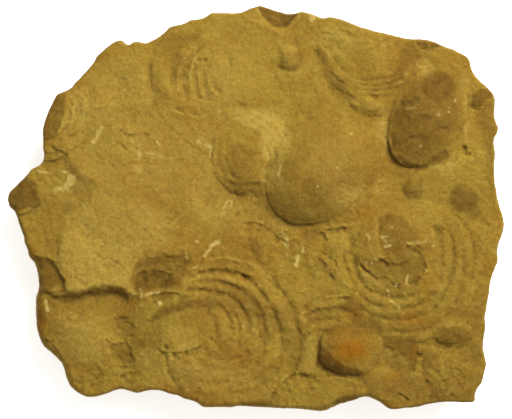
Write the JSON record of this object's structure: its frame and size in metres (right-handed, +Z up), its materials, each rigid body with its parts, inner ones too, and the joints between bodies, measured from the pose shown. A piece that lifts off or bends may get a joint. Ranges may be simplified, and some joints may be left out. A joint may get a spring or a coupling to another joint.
{
  "type": "fossil slab",
  "caption": "Irregular slab of bedded limestone with round, ring-ribbed fossil bivalve shells lying over its face; a rough broken edge and a flat underside to rest on.",
  "frame": {"origin": "middle of the slab's bounding box, on its flat underside", "axes": "+X to the right and +Y to the top of the slab as the picture shows its face, +Z up out of the fossil face"},
  "size_m": [0.15, 0.1224, 0.0249],
  "materials": {
    "stone": "dry, weathered ochre-brown marly limestone, matt, with darker brown shells and small pale calcite marks"
  },
  "bodies": {
    "root": {"fossil_slab": "stone"}
  },
  "joints": []
}
